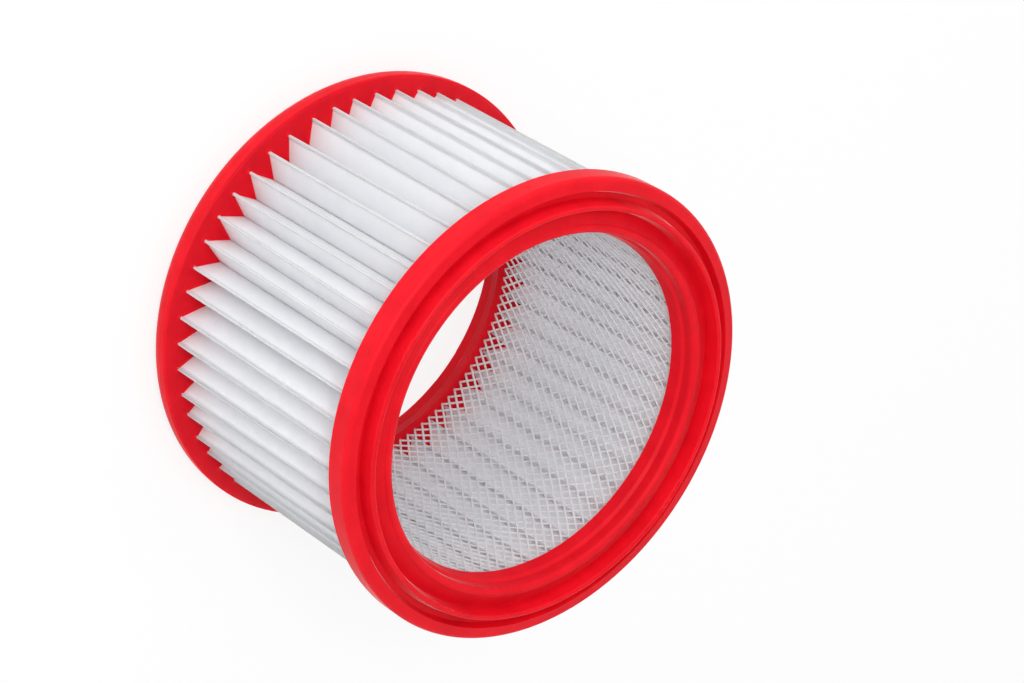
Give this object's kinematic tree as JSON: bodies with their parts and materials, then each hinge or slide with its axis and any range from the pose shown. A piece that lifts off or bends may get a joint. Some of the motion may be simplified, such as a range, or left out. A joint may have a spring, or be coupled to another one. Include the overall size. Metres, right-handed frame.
{
  "type": "vacuum filter cartridge",
  "caption": "Open-ended round cartridge filter with pleated white fleece, a netting sleeve inside and red moulded ring caps at both ends.",
  "frame": {"origin": "centre of the bottom cap's face, on the surface that the filter stands on", "axes": "+Z along the filter's axis, from the bottom cap to the sealing ridge of the top cap"},
  "size_m": [0.186, 0.186, 0.131],
  "materials": {
    "red_cap": "matte moulded polyurethane",
    "fleece": "pleated spunbond polyester",
    "netting": "extruded plastic netting"
  },
  "bodies": {
    "root": {"bottom_cap": "red_cap", "top_cap": "red_cap", "pleated_media": "fleece", "inner_net": "netting"}
  },
  "joints": []
}
